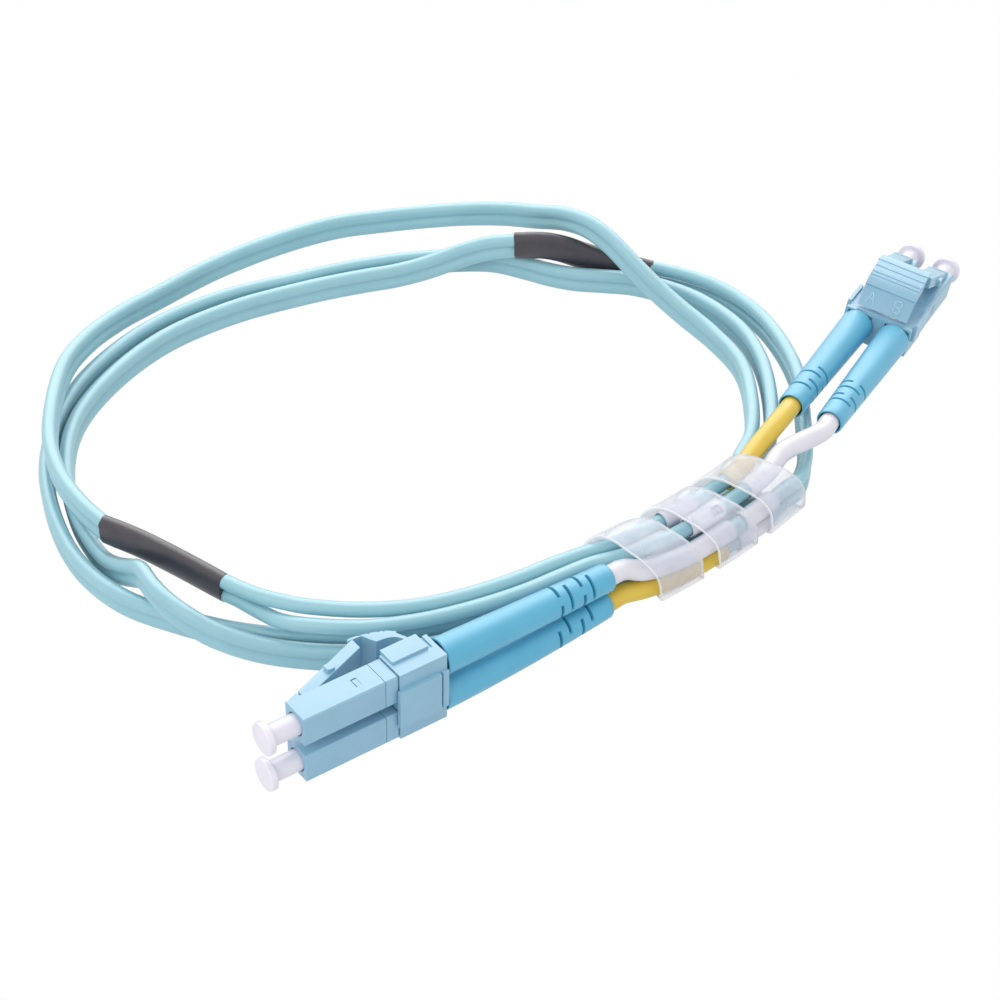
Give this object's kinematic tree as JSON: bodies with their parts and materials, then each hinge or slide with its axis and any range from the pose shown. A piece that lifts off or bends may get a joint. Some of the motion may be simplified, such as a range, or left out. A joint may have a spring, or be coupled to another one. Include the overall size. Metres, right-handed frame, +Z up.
{
  "type": "fiber optic patch cord",
  "caption": "Duplex fibre optic patch cord with twin latching plugs, strain-relief boots and dust caps, its zip cord coiled and held by a spiral wrap.",
  "frame": {"origin": "middle of the box round the two plugs, on the surface that the cord lies on", "axes": "+Z up, +Y away from the viewer of the picture, +X to the viewer's right"},
  "size_m": [0.1462, 0.1315, 0.014],
  "materials": {
    "shell_plastic": "satin",
    "boot_rubber": "satin",
    "cap_plastic": "satin",
    "zirconia": "gloss",
    "steel": "satin",
    "jacket": "satin",
    "heat_shrink": "satin",
    "yellow_sleeve": "satin",
    "white_sleeve": "satin",
    "wrap_film": "gloss"
  },
  "bodies": {
    "plugs_and_cord": {"near_plug_a_housing": "shell_plastic", "near_plug_a_rear_body": "shell_plastic", "near_plug_a_spring": "steel", "near_plug_a_crimp_sleeve": "steel", "near_plug_a_boot": "boot_rubber", "near_plug_b_housing": "shell_plastic", "near_plug_b_rear_body": "shell_plastic", "near_plug_b_spring": "steel", "near_plug_b_crimp_sleeve": "steel", "near_plug_b_boot": "boot_rubber", "near_duplex_clip": "shell_plastic", "far_plug_a_housing": "shell_plastic", "far_plug_a_rear_body": "shell_plastic", "far_plug_a_spring": "steel", "far_plug_a_crimp_sleeve": "steel", "far_plug_a_boot": "boot_rubber", "far_plug_b_housing": "shell_plastic", "far_plug_b_rear_body": "shell_plastic", "far_plug_b_spring": "steel", "far_plug_b_crimp_sleeve": "steel", "far_plug_b_boot": "boot_rubber", "far_duplex_clip": "shell_plastic", "near_white_sleeve": "white_sleeve", "near_yellow_sleeve": "yellow_sleeve", "far_yellow_sleeve": "yellow_sleeve", "far_white_sleeve": "white_sleeve", "near_leg_a": "jacket", "near_leg_b": "jacket", "far_leg_a": "jacket", "far_leg_b": "jacket", "near_label_a": "white_sleeve", "near_label_b": "white_sleeve", "far_label_a": "white_sleeve", "far_label_b": "white_sleeve", "near_heat_shrink": "heat_shrink", "far_heat_shrink": "heat_shrink", "zip_cord_coil": "jacket", "spiral_wrap": "wrap_film"},
    "near_trigger": {"near_trigger": "shell_plastic"},
    "near_latch_a": {"near_plug_a_latch": "shell_plastic"},
    "near_dust_cap_a": {"near_plug_a_dust_cap": "cap_plastic"},
    "near_ferrule_a": {"near_plug_a_ferrule": "zirconia", "near_plug_a_ferrule_flange": "steel"},
    "near_latch_b": {"near_plug_b_latch": "shell_plastic"},
    "near_dust_cap_b": {"near_plug_b_dust_cap": "cap_plastic"},
    "near_ferrule_b": {"near_plug_b_ferrule": "zirconia", "near_plug_b_ferrule_flange": "steel"},
    "far_trigger": {"far_trigger": "shell_plastic"},
    "far_latch_a": {"far_plug_a_latch": "shell_plastic"},
    "far_dust_cap_a": {"far_plug_a_dust_cap": "cap_plastic"},
    "far_ferrule_a": {"far_plug_a_ferrule": "zirconia", "far_plug_a_ferrule_flange": "steel"},
    "far_latch_b": {"far_plug_b_latch": "shell_plastic"},
    "far_dust_cap_b": {"far_plug_b_dust_cap": "cap_plastic"},
    "far_ferrule_b": {"far_plug_b_ferrule": "zirconia", "far_plug_b_ferrule_flange": "steel"}
  },
  "joints": [
    {"name": "near_trigger_press", "type": "hinge", "parent": "plugs_and_cord", "child": "near_trigger", "pos_m": [-0.03367, -0.04043, 0.00603], "axis": [0.0183, 0.0695, 0.9974], "range_deg": [0, 12], "stiffness_Nm_per_rad": 0.05},
    {"name": "near_latch_a_flex", "type": "hinge", "parent": "plugs_and_cord", "child": "near_latch_a", "pos_m": [-0.04829, -0.05067, 0.01015], "axis": [0.0183, 0.0695, 0.9974], "range_deg": [-7.7, 0]},
    {"name": "near_dust_cap_a_pull", "type": "slide", "parent": "plugs_and_cord", "child": "near_dust_cap_a", "axis": [-0.8067, -0.5883, 0.0558], "range_m": [0, 0.012]},
    {"name": "near_ferrule_a_float", "type": "slide", "parent": "plugs_and_cord", "child": "near_ferrule_a", "axis": [-0.8067, -0.5883, 0.0558], "range_m": [-0.0005, 0], "stiffness_N_per_m": 600},
    {"name": "near_latch_b_flex", "type": "hinge", "parent": "plugs_and_cord", "child": "near_latch_b", "pos_m": [-0.0484, -0.0511, 0.00391], "axis": [0.0183, 0.0695, 0.9974], "range_deg": [-7.7, 0]},
    {"name": "near_dust_cap_b_pull", "type": "slide", "parent": "plugs_and_cord", "child": "near_dust_cap_b", "axis": [-0.8067, -0.5883, 0.0558], "range_m": [0, 0.012]},
    {"name": "near_ferrule_b_float", "type": "slide", "parent": "plugs_and_cord", "child": "near_ferrule_b", "axis": [-0.8067, -0.5883, 0.0558], "range_m": [-0.0005, 0], "stiffness_N_per_m": 600},
    {"name": "far_trigger_press", "type": "hinge", "parent": "plugs_and_cord", "child": "far_trigger", "pos_m": [0.03786, 0.03483, 0.00843], "axis": [-0.8689, 0.4837, 0.1056], "range_deg": [0, 12], "stiffness_Nm_per_rad": 0.05},
    {"name": "far_latch_a_flex", "type": "hinge", "parent": "plugs_and_cord", "child": "far_latch_a", "pos_m": [0.0437, 0.05213, 0.00689], "axis": [-0.8689, 0.4837, 0.1056], "range_deg": [-7.7, 0]},
    {"name": "far_dust_cap_a_pull", "type": "slide", "parent": "plugs_and_cord", "child": "far_dust_cap_a", "axis": [0.4725, 0.8738, -0.1149], "range_m": [0, 0.012]},
    {"name": "far_ferrule_a_float", "type": "slide", "parent": "plugs_and_cord", "child": "far_ferrule_a", "axis": [0.4725, 0.8738, -0.1149], "range_m": [-0.0005, 0], "stiffness_N_per_m": 600},
    {"name": "far_latch_b_flex", "type": "hinge", "parent": "plugs_and_cord", "child": "far_latch_b", "pos_m": [0.04913, 0.0491, 0.00623], "axis": [-0.8689, 0.4837, 0.1056], "range_deg": [-7.7, 0]},
    {"name": "far_dust_cap_b_pull", "type": "slide", "parent": "plugs_and_cord", "child": "far_dust_cap_b", "axis": [0.4725, 0.8738, -0.1149], "range_m": [0, 0.012]},
    {"name": "far_ferrule_b_float", "type": "slide", "parent": "plugs_and_cord", "child": "far_ferrule_b", "axis": [0.4725, 0.8738, -0.1149], "range_m": [-0.0005, 0], "stiffness_N_per_m": 600}
  ],
  "couplings": [
    {"joint": "near_latch_a_flex", "follows": "near_trigger_press", "ratio": -0.56},
    {"joint": "near_latch_b_flex", "follows": "near_trigger_press", "ratio": -0.56},
    {"joint": "far_latch_a_flex", "follows": "far_trigger_press", "ratio": -0.56},
    {"joint": "far_latch_b_flex", "follows": "far_trigger_press", "ratio": -0.56}
  ]
}
